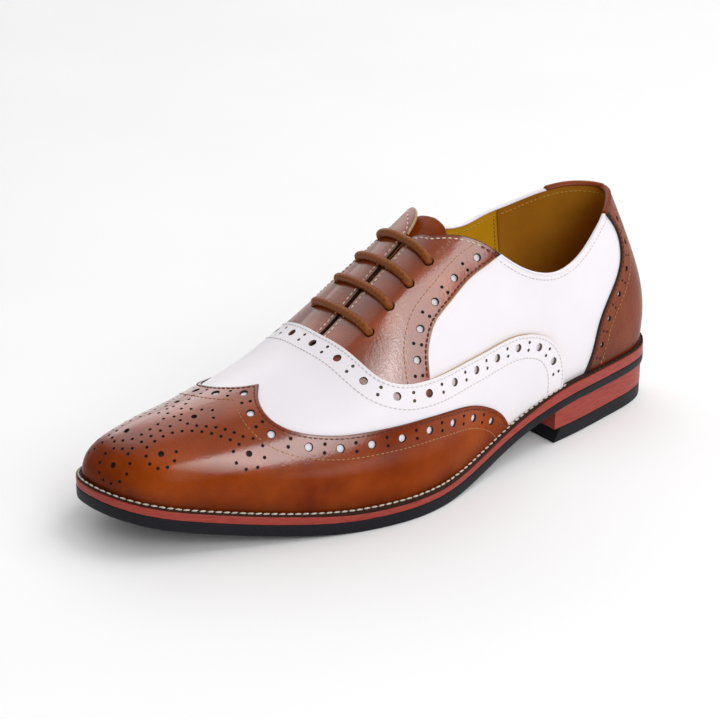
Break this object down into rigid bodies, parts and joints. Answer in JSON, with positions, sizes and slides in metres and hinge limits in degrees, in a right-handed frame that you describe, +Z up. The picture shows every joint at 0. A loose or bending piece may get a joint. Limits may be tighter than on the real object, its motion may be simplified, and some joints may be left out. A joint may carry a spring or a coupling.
{
  "type": "lace-up dress shoe",
  "caption": "Left wing-tip lace-up dress shoe in burnished brown and white, with punched panels, a stacked low heel and a hollow upper open at the collar.",
  "frame": {"origin": "on the floor, under the middle of the sole's outline box", "axes": "+X to the toe, +Y to the outer side of the left foot, +Z up"},
  "size_m": [0.302, 0.1078, 0.1126],
  "materials": {
    "black_rubber": "matt black sole edge",
    "red_sole_leather": "painted red edge, satin",
    "welt_leather": "dark brown strip, satin",
    "white_leather": "smooth white, soft sheen",
    "brown_leather": "burnished chestnut, polished",
    "lining_leather": "mustard lining, matt",
    "lace_cord": "waxed round cord"
  },
  "bodies": {
    "root": {"outsole": "black_rubber", "midsole": "red_sole_leather", "welt": "welt_leather", "heel_block": "red_sole_leather", "heel_lift": "black_rubber", "upper": "white_leather", "tongue": "brown_leather", "insole": "lining_leather", "lace_bar_1": "lace_cord", "lace_bar_2": "lace_cord", "lace_bar_3": "lace_cord", "lace_bar_4": "lace_cord"}
  },
  "joints": []
}
